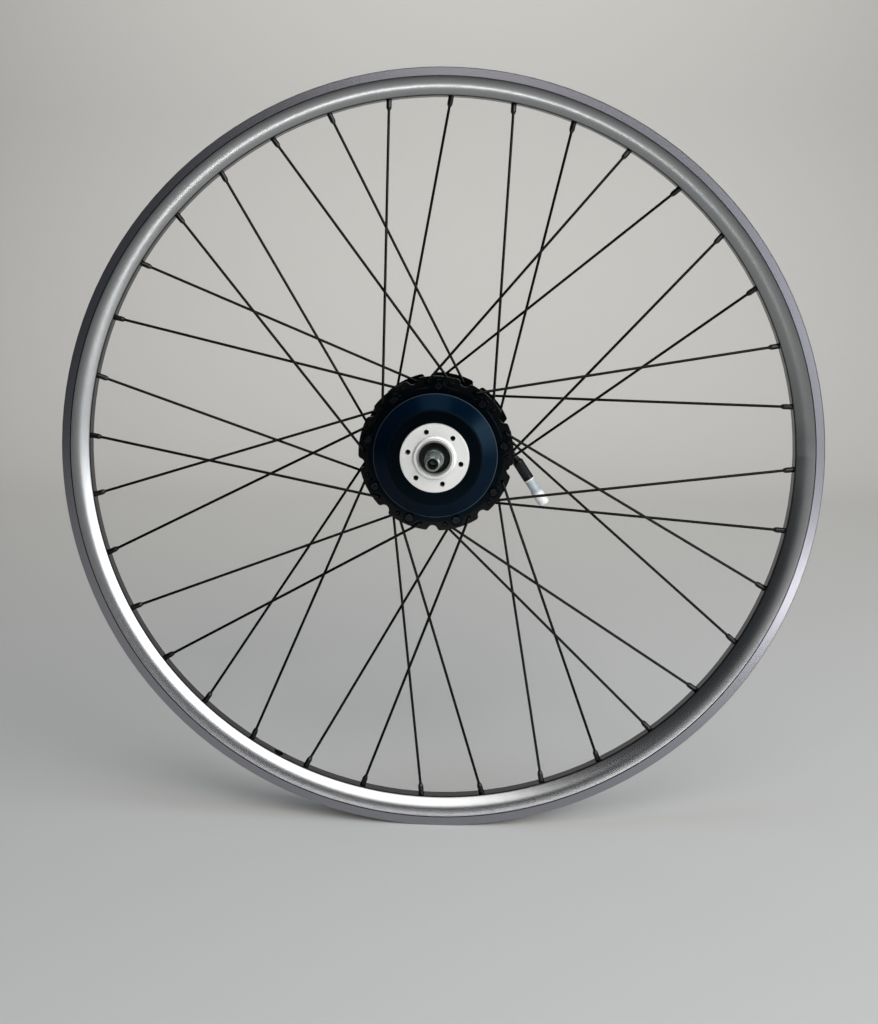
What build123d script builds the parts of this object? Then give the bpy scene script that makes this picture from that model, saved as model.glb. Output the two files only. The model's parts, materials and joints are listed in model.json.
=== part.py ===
"""Front wheel of an electric bicycle: a geared hub motor laced with 36 spokes into a bare rim.

Millimetres.  The origin is the wheel's centre: on the axle's axis, in the rim's mid-plane.
The axle runs along Y.  The brake disc side faces -Y and the cable side faces +Y.  +Z is up.
An angle is measured in the XZ plane from +X towards +Z, so it grows anticlockwise when the
wheel is looked at from the disc side.
"""
from build123d import *
import os
from math import acos, atan2, cos, degrees, hypot, pi, radians, sin, tan

os.makedirs("parts", exist_ok=True)

# ---------------------------------------------------------------- driving dimensions
# Fits
RUNNING_GAP = 0.05          # radial gap of a running fit
SEAT_GAP = 0.02             # radial gap of a fixed seat
FACE_GAP = 0.30             # gap between faces that turn past each other
HOLE_GAP = 0.25             # radial gap of a screw, spoke or nipple in its hole

# Rim
BEAD_SEAT_R = 311.0         # half of the 622 mm bead seat diameter
RIM_FLANGE_HEIGHT = 6.0     # hook edge above the bead seat
RIM_DEPTH = 22.2            # hook edge to spoke bed
RIM_WIDTH = 24.0
RIM_WALL = 1.6
SIDE_BAND = 7.0             # flat radial band of each side wall
GROOVE = 0.8                # groove under the band
GROOVE_DEPTH = 0.5
BODY_DROP = 1.7             # how far the middle of the rim's body lies inside its side
BED_WIDTH = 10.0
BED_ROUND = 2.0             # rounding of the spoke bed's edges
WELL_DEPTH = 5.0            # tyre well below the bead seat
WELL_WIDTH = 8.8
VALVE_HOLE_R = 4.25
ACCESS_HOLE_R = 4.2

# Lacing
SPOKE_COUNT = 36
SPOKE_R = 1.15
SPOKE_HEAD_R = 2.2
SPOKE_BEND_R = 2.6
FIRST_NIPPLE_ANGLE = 97.65
CROSS_ANGLE = 40.0          # turn from a nipple to its hub hole, two crosses
HUB_HOLE_CIRCLE_R = 59.7
NIPPLE_R = 2.25
NIPPLE_HEAD_R = 3.2
NIPPLE_LENGTH = 9.8        # from the inner face of the spoke bed to the tip
VALVE_GAP_INDEX = 21.5      # the valve hole lies between nipples 21 and 22

# Hub shell
DISC_FLANGE_Y = -10.5
CABLE_FLANGE_Y = 35.65
FLANGE_THICKNESS = 3.5
FLANGE_R = 64.6
FLANGE_NOTCH_R = 4.4
FLANGE_LOBE_ROUND = 2.5     # rounding of each lobe's corners
FLANGE_EDGE = 0.4           # chamfer round the flange
BARREL_R = 53.0
BARREL_BORE_R = 49.0
SHELL_FACE_Y = -13.6        # joint face towards the cover
SHELL_WALL = 4.0
CABLE_WALL_Y = 40.0         # inner face of the closed end

# Side cover
COVER_SCREW_COUNT = 9
COVER_SCREW_CIRCLE_R = 56.5
COVER_SCREW_R = 2.0
COVER_EDGE_R = 56.2
COVER_EAR_R = 5.8
COVER_EAR_THICKNESS = 5.0
COVER_EAR_EDGE = 0.7        # chamfer round the eared edge
GASKET = 0.4
COVER_STEP_R = 51.6
COVER_SHOULDER_R = 50.7
COVER_SHOULDER_Y = -25.0
COVER_FACE_R = 38.0
COVER_FACE_Y = -36.0
COVER_LIP_R = 29.6
COVER_OPENING_R = 12.9

# Brake disc mount: six bolts on the standard 44 mm circle
MOUNT_FACE_Y = -40.0
MOUNT_R = 28.2
MOUNT_BOLT_CIRCLE_R = 22.0
MOUNT_BOLT_COUNT = 6
MOUNT_SCREW_CIRCLE_R = 24.5
MOUNT_HOLE_R = 2.1          # core of an M5 thread
MOUNT_HOLE_ANGLE = 107.3
MOUNT_THICKNESS = 7.0
MOUNT_SPIGOT_R = 17.45
MOUNT_SPIGOT_HEIGHT = 2.0

# Axle
AXLE_R = 6.0                # M12
AXLE_END_Y = 75.0
AXLE_CORE_R = 8.5
DROPOUT_Y = 50.0            # half of the 100 mm fork width
AXLE_FLATS = 10.0
AXLE_DISC_BORE_R = 4.0
AXLE_CABLE_BORE_R = 3.5
AXLE_RELIEF = 1.5           # run-out groove where the thread meets the spacer
SPACER_R = 8.0

# Bearings: bore, outside and width
COVER_BEARING = (AXLE_R, 14.0, 8.0)
COVER_BEARING_Y = -31.0
ROTOR_BEARING = (AXLE_R, 10.5, 5.0)
ROTOR_BEARING_SPACING = 7.0
CABLE_BEARING = (AXLE_CORE_R, 15.0, 7.0)
CABLE_BEARING_Y = 40.5

# Gears, module 1
MODULE = 1.0
PRESSURE_ANGLE = 20.0
SUN_TEETH = 18
PLANET_TEETH = 33
RING_TEETH = SUN_TEETH + 2 * PLANET_TEETH
PLANET_COUNT = 3
FIRST_PLANET_ANGLE = 90.0
BACKLASH = 0.16
GEAR_START_Y = -11.5
PLANET_HOLE_R = 2.6         # lightening holes in a planet gear
PLANET_HOLE_CIRCLE_R = 10.0
PLANET_WIDTH = 10.0
RING_GEAR_MARGIN = 1.0      # ring gear wider than the planets
SUN_SHAFT_GAP = 0.5
SUN_COLLAR_R = 9.5

# Planet carrier and its one-way clutch
CARRIER_R = 34.0
CARRIER_PLATE = 4.0
CARRIER_HUB_R = 17.0
RETAINER_PLATE = 2.0
PLANET_PIN_R = 3.0
BUSH_R = 4.5
POST_R = 4.5
POST_CIRCLE_R = 28.0
CLUTCH_RACE_R = 9.0
CLUTCH_OUTER_R = 14.0
CLUTCH_START_Y = -21.5
ROLLER_R = 1.5
ROLLER_COUNT = 10

# Motor
STATOR_SLOTS = 18
STATOR_R = 38.0
STATOR_BORE_R = 20.0
STATOR_SET_BACK = 8.0        # from the bell's outer face to the lamination stack
STATOR_LENGTH = 20.0
TOOTH_WIDTH = 5.0
COIL_THICKNESS = 1.9
COIL_OVERHANG = 3.2
MAGNET_COUNT = 20
MAGNET_THICKNESS = 2.8
AIR_GAP = 0.7
BELL_WALL = 3.5
BELL_LENGTH = 30.0
SCREW_HEAD_ROOM = 2.5       # from the carrier's retainer to the bell
ROTOR_HUB_R = 13.5

# Cable and its plug.  The plug hangs beside the axle's end, pointing down and away from it.
CABLE_R = 2.8
CABLE_ROUTE = [               # from the middle of the axle's cable end
    (0.0, 0.0, 0.0),
    (0.0, 17.0, 0.0),
    (8.6, 32.0, 0.8),
    (23.6, 40.5, 1.4),
    (46.0, 42.0, 0.4),
    (60.9, 41.5, -8.0),
    (69.0, 41.0, -20.6),
]
PLUG_BOOT_LENGTH = 3.0
PLUG_LENGTH = 20.7
PLUG_R = 5.1
NOSE_LENGTH = 12.5
NOSE_R = 4.1
NOSE_SEAT = 5.0             # depth of the insert in the plug's body
PIN_CIRCLE_R = 2.4
CAP_LENGTH = 27.4
CAP_SLEEVE_R = 4.95
CAP_R = 5.4
CAP_WALL = 0.8

# ---------------------------------------------------------------- derived sizes
RIM_EDGE_R = BEAD_SEAT_R + RIM_FLANGE_HEIGHT
BED_R = RIM_EDGE_R - RIM_DEPTH
BED_INNER_R = BED_R + RIM_WALL
WELL_R = BEAD_SEAT_R - WELL_DEPTH
NIPPLE_STEP = 360.0 / SPOKE_COUNT
FLANGE_HOLES = SPOKE_COUNT // 2
FLANGE_STEP = 360.0 / FLANGE_HOLES
LOBE_STEP = 2 * FLANGE_STEP
LOBE_COUNT = FLANGE_HOLES // 2
DISC_HOLE_ANGLE = FIRST_NIPPLE_ANGLE + CROSS_ANGLE
CABLE_HOLE_ANGLE = FIRST_NIPPLE_ANGLE - NIPPLE_STEP + CROSS_ANGLE
SCREW_ANGLE = DISC_HOLE_ANGLE - FLANGE_STEP / 2
SPOKE_HOLE_R = SPOKE_R + 0.35
VALVE_ANGLE = FIRST_NIPPLE_ANGLE - VALVE_GAP_INDEX * NIPPLE_STEP
COVER_EAR_Y = SHELL_FACE_Y - GASKET
COVER_EAR_FRONT_Y = COVER_EAR_Y - COVER_EAR_THICKNESS
MOUNT_BACK_Y = MOUNT_FACE_Y + MOUNT_THICKNESS
SUN_BORE_R = AXLE_R + SUN_SHAFT_GAP
PLANET_CIRCLE_R = MODULE * (SUN_TEETH + PLANET_TEETH) / 2
RING_GEAR_WIDTH = PLANET_WIDTH + RING_GEAR_MARGIN
GEAR_END_Y = GEAR_START_Y + PLANET_WIDTH
CARRIER_PLATE_Y = GEAR_START_Y - 1.0 - CARRIER_PLATE
RETAINER_Y = GEAR_END_Y + 1.0
MAGNET_R = STATOR_R + AIR_GAP
BELL_BORE_R = MAGNET_R + MAGNET_THICKNESS
BELL_R = BELL_BORE_R + BELL_WALL
BELL_START_Y = RETAINER_Y + RETAINER_PLATE + SCREW_HEAD_ROOM
BELL_END_Y = BELL_START_Y + BELL_LENGTH
ROTOR_BEARING_YS = (BELL_START_Y + 0.5, BELL_START_Y + 0.5 + ROTOR_BEARING_SPACING)
AXLE_CORE_START_Y = ROTOR_BEARING_YS[1] + ROTOR_BEARING[2] + FACE_GAP
STATOR_START_Y = BELL_START_Y + STATOR_SET_BACK
STATOR_END_Y = STATOR_START_Y + STATOR_LENGTH


# ---------------------------------------------------------------- helpers
def face_plane(y):
    """A plane across the axle at y: its own x is X, its own y is Z, and it faces -Y."""
    return Plane.XZ.offset(-y)


def slab(sketch, y_start, y_end):
    """The sketch, drawn across the axle, given a thickness from y_start to y_end."""
    return extrude(face_plane(y_end) * sketch, y_end - y_start)


def ring(inner_r, outer_r, y_start, y_end):
    sketch = Circle(outer_r)
    if inner_r > 0:
        sketch = sketch - Circle(inner_r)
    return slab(sketch, y_start, y_end)


def turned(points):
    """A solid turned about the axle from a closed outline of (radius, y) points."""
    return revolve(make_face(Polyline(*points, close=True)), Axis.Y)


def polar(radius, angle, y=0.0):
    return Vector(radius * cos(radians(angle)), y, radius * sin(radians(angle)))


def spin(angle):
    """A turn about the axle by an angle measured as in polar()."""
    return Rot(0, -angle, 0)


def around(count, first_angle=0.0):
    return [first_angle + 360.0 * k / count for k in range(count)]


def on_circle(radius, angle, y=0.0):
    point = polar(radius, angle)
    return Pos(point.X, y, point.Z)


def joined(shapes):
    """Several separate solids kept as one group."""
    solids = [solid for shape in shapes for solid in shape.solids()]
    return Compound(children=solids)


def write(name, shape):
    shape.label = name
    export_step(shape, "parts/" + name + ".step")


def involute(base_r, radius):
    """The polar angle, in radians, that an involute has turned by at a radius."""
    roll = acos(min(1.0, base_r / radius))
    return tan(roll) - roll


def gear_outline(teeth, root_r, tip_r, tooth_angle):
    """The closed outline of a spur gear with a tooth centred on angle tooth_angle.

    Used for the ring gear too, as the outline of its bore."""
    pitch_r = MODULE * teeth / 2
    base_r = pitch_r * cos(radians(PRESSURE_ANGLE))
    external = tip_r < pitch_r + 1.2 * MODULE
    slack = -BACKLASH / 2 if external else BACKLASH / 2
    half_pitch_angle = (pi * MODULE / 2 + slack) / (2 * pitch_r)
    start_r = max(root_r, base_r)
    step = 2 * pi / teeth

    def at(radius, centre, side):
        half = half_pitch_angle + involute(base_r, pitch_r) - involute(base_r, max(radius, base_r))
        angle = centre + side * half
        return (radius * cos(angle), radius * sin(angle))

    edges = []
    for k in range(teeth):
        centre = radians(tooth_angle) + k * step
        middle_r = (start_r + tip_r) / 2
        if root_r < base_r:
            edges.append(Line(at(root_r, centre, -1), at(start_r, centre, -1)))
        edges.append(ThreePointArc(at(start_r, centre, -1), at(middle_r, centre, -1), at(tip_r, centre, -1)))
        crown = (tip_r * cos(centre), tip_r * sin(centre))
        edges.append(ThreePointArc(at(tip_r, centre, -1), crown, at(tip_r, centre, 1)))
        edges.append(ThreePointArc(at(tip_r, centre, 1), at(middle_r, centre, 1), at(start_r, centre, 1)))
        if root_r < base_r:
            edges.append(Line(at(start_r, centre, 1), at(root_r, centre, 1)))
        valley_angle = centre + step / 2
        valley = (root_r * cos(valley_angle), root_r * sin(valley_angle))
        edges.append(ThreePointArc(at(root_r, centre, 1), valley, at(root_r, centre + step, -1)))
    return make_face(Wire(edges))


# ---------------------------------------------------------------- rim, spokes and nipples
def spoke_line(index):
    """Flange hole, bend corner and bed point of a spoke, with the side its flange faces."""
    nipple_angle = FIRST_NIPPLE_ANGLE - index * NIPPLE_STEP
    lean = CROSS_ANGLE if index % 4 in (0, 1) else -CROSS_ANGLE
    disc_side = index % 2 == 0
    flange_y = DISC_FLANGE_Y if disc_side else CABLE_FLANGE_Y
    outward = -1 if disc_side else 1
    bed = polar(BED_INNER_R, nipple_angle)
    slope = abs(flange_y) / (BED_R - HUB_HOLE_CIRCLE_R)
    stand_off = FLANGE_THICKNESS / 2 + SPOKE_R + 0.65
    if lean > 0:
        stand_off += 7.5 * slope
    side = outward if lean > 0 else -outward
    hole = polar(HUB_HOLE_CIRCLE_R, nipple_angle + lean, flange_y)
    corner = Vector(hole.X, flange_y + side * stand_off, hole.Z)
    return hole, corner, bed, side


def spoke(index):
    """A J-bent spoke: its head on one face of the flange, its shank off the other."""
    hole, corner, bed, side = spoke_line(index)
    direction = (bed - corner).normalized()
    end = bed + direction * 2.0
    head_face = hole.Y - side * (FLANGE_THICKNESS / 2 + 0.1)
    start = Vector(hole.X, head_face, hole.Z)
    path = FilletPolyline(start, corner, end, radius=SPOKE_BEND_R)
    shank = sweep(Plane(origin=start, z_dir=(0, side, 0)) * Circle(SPOKE_R), path=path)
    head = Plane(origin=start, z_dir=(0, -side, 0)) * Cone(
        SPOKE_HEAD_R, 1.3, 1.0, align=(Align.CENTER, Align.CENTER, Align.MIN))
    return shank + head


def along_spoke(index):
    """A plane on the spoke bed's inner face that faces outward along the spoke."""
    _, corner, bed, _ = spoke_line(index)
    return Plane(origin=bed, z_dir=(bed - corner).normalized())


def nipple(index):
    """A brass nipple: slotted head in the rim's hollow, shank through the bed, tapered tip."""
    low = (Align.CENTER, Align.CENTER, Align.MIN)
    taper = 2.0
    shank = Pos(0, 0, taper - NIPPLE_LENGTH) * Cylinder(NIPPLE_R, NIPPLE_LENGTH - taper + 1.0, align=low)
    tip = Pos(0, 0, -NIPPLE_LENGTH) * Cone(SPOKE_R + 0.45, NIPPLE_R, taper, align=low)
    head = Pos(0, 0, 0.75) * Cylinder(NIPPLE_HEAD_R, 2.0, align=low)
    bore = Pos(0, 0, -NIPPLE_LENGTH - 1) * Cylinder(SPOKE_R + RUNNING_GAP, NIPPLE_LENGTH + 5, align=low)
    slot = Pos(0, 0, 2.45) * Box(2 * NIPPLE_HEAD_R + 1, 1.1, 1.0)
    return along_spoke(index) * (shank + tip + head - bore - slot)


def rim_outline():
    """Outer outline of the double-wall rim's section, in (radius, y)."""
    half = RIM_WIDTH / 2
    band_r = RIM_EDGE_R - SIDE_BAND
    body_r = band_r - GROOVE
    bulge_r = (body_r + BED_R) / 2
    inner = half - RIM_WALL
    edges = []
    for s in (1, -1):
        points = [
            (WELL_R, 0),
            (WELL_R, s * WELL_WIDTH / 2),
            (BEAD_SEAT_R, s * (WELL_WIDTH / 2 + 2.6)),
            (BEAD_SEAT_R, s * inner),
            (RIM_EDGE_R - 2.6, s * inner),
            (RIM_EDGE_R - 1.8, s * (inner - 0.8)),
            (RIM_EDGE_R - 0.5, s * (inner - 0.8)),
            (RIM_EDGE_R, s * (inner - 0.3)),
            (RIM_EDGE_R, s * (half - 0.7)),
            (RIM_EDGE_R - 0.7, s * half),
            (band_r, s * half),
            (band_r - GROOVE / 4, s * (half - GROOVE_DEPTH)),
            (body_r + GROOVE / 4, s * (half - GROOVE_DEPTH)),
            (body_r, s * half),
        ]
        edges.append(Polyline(*points))
        edges.append(ThreePointArc((body_r, s * half), (bulge_r, s * (half - BODY_DROP)), (BED_R, s * BED_WIDTH / 2)))
        edges.append(Line((BED_R, s * BED_WIDTH / 2), (BED_R, 0)))
    wires = [edge for item in edges for edge in item.edges()]
    outline = make_face(Wire(wires))
    corners = [v for v in outline.vertices() if abs(v.X - BED_R) < 0.01 and abs(abs(v.Y) - BED_WIDTH / 2) < 0.01]
    return fillet(corners, radius=BED_ROUND)


def rim_hollow():
    """The closed chamber between the spoke bed and the tyre well."""
    half = RIM_WIDTH / 2
    top = BEAD_SEAT_R - RIM_WALL
    body_r = RIM_EDGE_R - SIDE_BAND - GROOVE
    corner_y = half - GROOVE_DEPTH - RIM_WALL
    edges = []
    for s in (1, -1):
        edges.append(Polyline(
            (WELL_R - RIM_WALL, 0),
            (WELL_R - RIM_WALL, s * (WELL_WIDTH / 2 - 0.6)),
            (top, s * (WELL_WIDTH / 2 + 2.0)),
            (top, s * corner_y),
            (body_r - 1.0, s * corner_y),
        ))
        edges.append(ThreePointArc(
            (body_r - 1.0, s * corner_y),
            ((body_r + BED_R) / 2, s * (half - BODY_DROP - RIM_WALL)),
            (BED_INNER_R, s * (BED_WIDTH / 2 - 1.0)),
        ))
        edges.append(Line((BED_INNER_R, s * (BED_WIDTH / 2 - 1.0)), (BED_INNER_R, 0)))
    wires = [edge for item in edges for edge in item.edges()]
    return make_face(Wire(wires))


def rim():
    body = revolve(rim_outline() - rim_hollow(), Axis.Y)
    low = (Align.CENTER, Align.CENTER, Align.MIN)
    holes = []
    for index in range(SPOKE_COUNT):
        angle = FIRST_NIPPLE_ANGLE - index * NIPPLE_STEP
        drill = Pos(0, 0, -8) * Cylinder(NIPPLE_R + HOLE_GAP, 8 + RIM_WALL, align=low)
        holes.append(along_spoke(index) * drill)
        access = Plane(origin=polar(WELL_R - 3, angle), z_dir=polar(1, angle))
        holes.append(access * Cylinder(ACCESS_HOLE_R, 8, align=low))
    valve = Plane(origin=polar(BED_R - 4, VALVE_ANGLE), z_dir=polar(1, VALVE_ANGLE))
    holes.append(valve * Cylinder(VALVE_HOLE_R, 22, align=low))
    return body - holes


# ---------------------------------------------------------------- hub shell and cover
def flange_sketch(notch_angle):
    """A flange outline: nine lobes parted by rounded notches."""
    notches = [Pos(*flat(FLANGE_R, a)) * Circle(FLANGE_NOTCH_R) for a in around(LOBE_COUNT, notch_angle)]
    sketch = Circle(FLANGE_R) - notches
    corners = [v for v in sketch.vertices() if abs(hypot(v.X, v.Y) - FLANGE_R) < 0.01]
    return fillet(corners, radius=FLANGE_LOBE_ROUND)


def flat(radius, angle):
    """A point in a sketch drawn across the axle."""
    return (radius * cos(radians(angle)), radius * sin(radians(angle)))


def chamfered_slab(sketch, y_start, y_end, y_faces, size):
    """A slab whose outline is chamfered on the faces at y_faces."""
    body = slab(sketch, y_start, y_end)
    faces = [f for f in body.faces() if abs(f.bounding_box().size.Y) < 0.001]
    edges = [e for f in faces if any(abs(f.center().Y - y) < 0.001 for y in y_faces) for e in f.outer_wire().edges()]
    return chamfer(edges, size)


def flange(flange_y, notch_angle, hole_angle):
    start, end = flange_y - FLANGE_THICKNESS / 2, flange_y + FLANGE_THICKNESS / 2
    body = chamfered_slab(flange_sketch(notch_angle), start, end, (start, end), FLANGE_EDGE)
    sketch = Circle(BARREL_R - 1.0)
    sketch += [Pos(*flat(HUB_HOLE_CIRCLE_R, a)) * Circle(SPOKE_HOLE_R) for a in around(FLANGE_HOLES, hole_angle)]
    return body - slab(sketch, start - 1, end + 1)


def hub_shell():
    """The shell: a barrel closed at the cable end, with a spoke flange near each end."""
    boss_r = CABLE_BEARING[1] + SHELL_WALL
    bearing_end = CABLE_BEARING_Y + CABLE_BEARING[2]
    outer_face = CABLE_WALL_Y + SHELL_WALL
    ring_seat_end = GEAR_START_Y + RING_GEAR_WIDTH - 0.5
    boss_end = DROPOUT_Y - 0.8
    body = turned([
        (BARREL_BORE_R, SHELL_FACE_Y),
        (COVER_EDGE_R, SHELL_FACE_Y),
        (COVER_EDGE_R, DISC_FLANGE_Y + FLANGE_THICKNESS / 2),
        (BARREL_R, DISC_FLANGE_Y + FLANGE_THICKNESS / 2 + 3),
        (BARREL_R, CABLE_FLANGE_Y - FLANGE_THICKNESS / 2 - 2),
        (BARREL_R + 2, CABLE_FLANGE_Y - FLANGE_THICKNESS / 2),
        (BARREL_R + 2, CABLE_FLANGE_Y + FLANGE_THICKNESS / 2),
        (BARREL_R - 3, outer_face - 2),
        (BARREL_R - 9, outer_face),
        (boss_r + 4, outer_face + 1.2),
        (boss_r, boss_end - 0.8),
        (boss_r - 0.8, boss_end),
        (CABLE_BEARING[1] + SEAT_GAP, boss_end),
        (CABLE_BEARING[1] + SEAT_GAP, CABLE_BEARING_Y),
        (CABLE_BEARING[1] - 2.0, CABLE_BEARING_Y),
        (CABLE_BEARING[1] - 2.0, CABLE_WALL_Y - 1.5),
        (boss_r, CABLE_WALL_Y - 1.5),
        (boss_r + 1.5, CABLE_WALL_Y),
        (BARREL_BORE_R - 6, CABLE_WALL_Y),
        (BARREL_BORE_R - 1, CABLE_WALL_Y - 5),
        (BARREL_BORE_R - 1, ring_seat_end),
        (BARREL_BORE_R, ring_seat_end),
    ])
    body += flange(DISC_FLANGE_Y, SCREW_ANGLE + FLANGE_STEP, DISC_HOLE_ANGLE)
    body += flange(CABLE_FLANGE_Y, CABLE_HOLE_ANGLE - FLANGE_STEP * 1.5, CABLE_HOLE_ANGLE)
    for angle in around(COVER_SCREW_COUNT, SCREW_ANGLE):
        boss = ring(0, COVER_EAR_R - 0.4, SHELL_FACE_Y, SHELL_FACE_Y + 11)
        body += on_circle(COVER_SCREW_CIRCLE_R, angle) * boss
    cuts = [ring(0, BARREL_BORE_R, SHELL_FACE_Y - 1, ring_seat_end)]
    cuts.append(ring(0, BARREL_BORE_R - 1, ring_seat_end - 1, CABLE_WALL_Y - 5))
    for angle in around(COVER_SCREW_COUNT, SCREW_ANGLE):
        tapped = ring(0, COVER_SCREW_R + SEAT_GAP, SHELL_FACE_Y - 1, SHELL_FACE_Y + 9)
        cuts.append(on_circle(COVER_SCREW_CIRCLE_R, angle) * tapped)
    for angle in around(3, SCREW_ANGLE + FLANGE_STEP):
        cuts.append(on_circle(BARREL_BORE_R, angle) * ring(0, 1.5 + SEAT_GAP, SHELL_FACE_Y - 1, ring_seat_end))
    return body - cuts


def ear_sketch(edge_r, ear_r):
    """A round outline with a rounded ear at each cover screw, the corners eased."""
    sketch = Circle(edge_r)
    sketch += [Pos(*flat(COVER_SCREW_CIRCLE_R, a)) * Circle(ear_r) for a in around(COVER_SCREW_COUNT, SCREW_ANGLE)]
    corners = [v for v in sketch.vertices() if abs(hypot(v.X, v.Y) - edge_r) < 0.01]
    return fillet(corners, radius=3.5)


def disc_side_cover():
    """The domed side cover: mount pocket, flat face, cone, shoulder and a thin eared edge."""
    inner_face = MOUNT_BACK_Y + SHELL_WALL - 0.5
    boss_r = COVER_BEARING[1] + SHELL_WALL
    boss_end = COVER_BEARING_Y + COVER_BEARING[2]
    body = turned([
        (COVER_OPENING_R, MOUNT_BACK_Y),
        (MOUNT_R + 0.1, MOUNT_BACK_Y),
        (MOUNT_R + 0.1, COVER_FACE_Y - 1.0),
        (COVER_LIP_R - 0.3, COVER_FACE_Y - 1.0),
        (COVER_LIP_R, COVER_FACE_Y - 0.7),
        (COVER_LIP_R, COVER_FACE_Y),
        (COVER_FACE_R, COVER_FACE_Y),
        (COVER_FACE_R + 0.8, COVER_FACE_Y + 0.35),
        (COVER_SHOULDER_R, COVER_SHOULDER_Y),
        (COVER_SHOULDER_R + 0.5, COVER_SHOULDER_Y + 0.8),
        (COVER_STEP_R, COVER_EAR_FRONT_Y + 0.1),
        (COVER_STEP_R, COVER_EAR_Y),
        (BARREL_BORE_R - 0.1, COVER_EAR_Y),
        (BARREL_BORE_R - 0.1, GEAR_START_Y - 0.8),
        (BARREL_BORE_R - 4.0, GEAR_START_Y - 0.8),
        (BARREL_BORE_R - 4.0, COVER_EAR_FRONT_Y),
        (COVER_SHOULDER_R - SHELL_WALL - 1.0, COVER_SHOULDER_Y + 2.5),
        (COVER_FACE_R - 4.0, inner_face),
        (boss_r, inner_face),
        (boss_r, boss_end),
        (COVER_BEARING[1] + SEAT_GAP, boss_end),
        (COVER_BEARING[1] + SEAT_GAP, COVER_BEARING_Y),
        (COVER_OPENING_R, COVER_BEARING_Y),
    ])
    outline = ear_sketch(COVER_EDGE_R, COVER_EAR_R)
    edge = chamfered_slab(outline, COVER_EAR_FRONT_Y, COVER_EAR_Y, (COVER_EAR_FRONT_Y,), COVER_EAR_EDGE)
    body += edge - ring(0, COVER_STEP_R - 1, COVER_EAR_FRONT_Y - 1, COVER_EAR_Y + 1)
    cuts = []
    for angle in around(COVER_SCREW_COUNT, SCREW_ANGLE):
        place = on_circle(COVER_SCREW_CIRCLE_R, angle)
        cuts.append(place * ring(0, COVER_SCREW_R + HOLE_GAP, COVER_EAR_FRONT_Y - 1, COVER_EAR_Y + 1))
        cuts.append(place * ring(0, 4.1, COVER_EAR_FRONT_Y - 3, COVER_EAR_FRONT_Y + 0.6))
    for angle in around(MOUNT_BOLT_COUNT, MOUNT_HOLE_ANGLE + 30):
        place = on_circle(MOUNT_SCREW_CIRCLE_R, angle)
        cuts.append(place * ring(0, 2.0 + HOLE_GAP, MOUNT_BACK_Y - 1, inner_face + 1))
    return body - cuts


def cover_gasket():
    outline = ear_sketch(COVER_EDGE_R, COVER_EAR_R) - Circle(BARREL_BORE_R + 0.1)
    outline -= [Pos(*flat(COVER_SCREW_CIRCLE_R, a)) * Circle(COVER_SCREW_R + HOLE_GAP)
                for a in around(COVER_SCREW_COUNT, SCREW_ANGLE)]
    return slab(outline, COVER_EAR_Y, SHELL_FACE_Y)


def socket_screw(shank_r, length, head_r, head_height, head_y):
    """A button-headed screw pointing to +Y: its head's seat lies at head_y."""
    shank = ring(0, shank_r, head_y, head_y + length)
    head = turned([(0, head_y), (head_r, head_y), (head_r, head_y - 0.5 * head_height),
                   (0.75 * head_r, head_y - head_height), (0, head_y - head_height)])
    socket = slab(RegularPolygon(0.58 * shank_r * 1.1547, 6), head_y - head_height, head_y - 0.35 * head_height)
    return head + shank - socket


def cover_screws():
    seat = COVER_EAR_FRONT_Y + 0.6
    screw = socket_screw(COVER_SCREW_R, seat * -1 + SHELL_FACE_Y + 8.0, 3.6, 2.4, seat)
    return joined([on_circle(COVER_SCREW_CIRCLE_R, a) * screw for a in around(COVER_SCREW_COUNT, SCREW_ANGLE)])


def disc_rotor_mount():
    """The machined mount for a six-bolt brake disc, with its centring spigot."""
    spigot_front = MOUNT_FACE_Y - MOUNT_SPIGOT_HEIGHT
    body = turned([
        (COVER_OPENING_R, MOUNT_BACK_Y),
        (MOUNT_R, MOUNT_BACK_Y),
        (MOUNT_R, MOUNT_FACE_Y + 0.4),
        (MOUNT_R - 0.4, MOUNT_FACE_Y),
        (MOUNT_SPIGOT_R, MOUNT_FACE_Y),
        (MOUNT_SPIGOT_R, spigot_front + 0.4),
        (MOUNT_SPIGOT_R - 0.9, spigot_front),
        (COVER_OPENING_R + 1.6, spigot_front),
        (COVER_OPENING_R, spigot_front + 1.3),
    ])
    cuts = []
    for angle in around(MOUNT_BOLT_COUNT, MOUNT_HOLE_ANGLE):
        cuts.append(on_circle(MOUNT_BOLT_CIRCLE_R, angle) * ring(0, MOUNT_HOLE_R, MOUNT_FACE_Y - 1, MOUNT_BACK_Y + 1))
        tapped = ring(0, 2.0 + SEAT_GAP, MOUNT_BACK_Y - 5, MOUNT_BACK_Y + 1)
        cuts.append(on_circle(MOUNT_SCREW_CIRCLE_R, angle + 30) * tapped)
    return body - cuts


def disc_mount_screws():
    """Screws that hold the disc mount from inside the cover."""
    inner_face = MOUNT_BACK_Y + SHELL_WALL - 0.5
    length = SHELL_WALL - 0.5 + 4.5
    screw = socket_screw(2.0, length, 3.4, 2.2, 0.0).rotate(Axis.Z, 180)
    screw = Pos(0, inner_face, 0) * screw
    return joined([on_circle(MOUNT_SCREW_CIRCLE_R, a) * screw
                   for a in around(MOUNT_BOLT_COUNT, MOUNT_HOLE_ANGLE + 30)])


# ---------------------------------------------------------------- bearings and seals
def ball_r(bearing):
    bore_r, outer_r, _ = bearing
    return 0.29 * (outer_r - bore_r)


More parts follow.
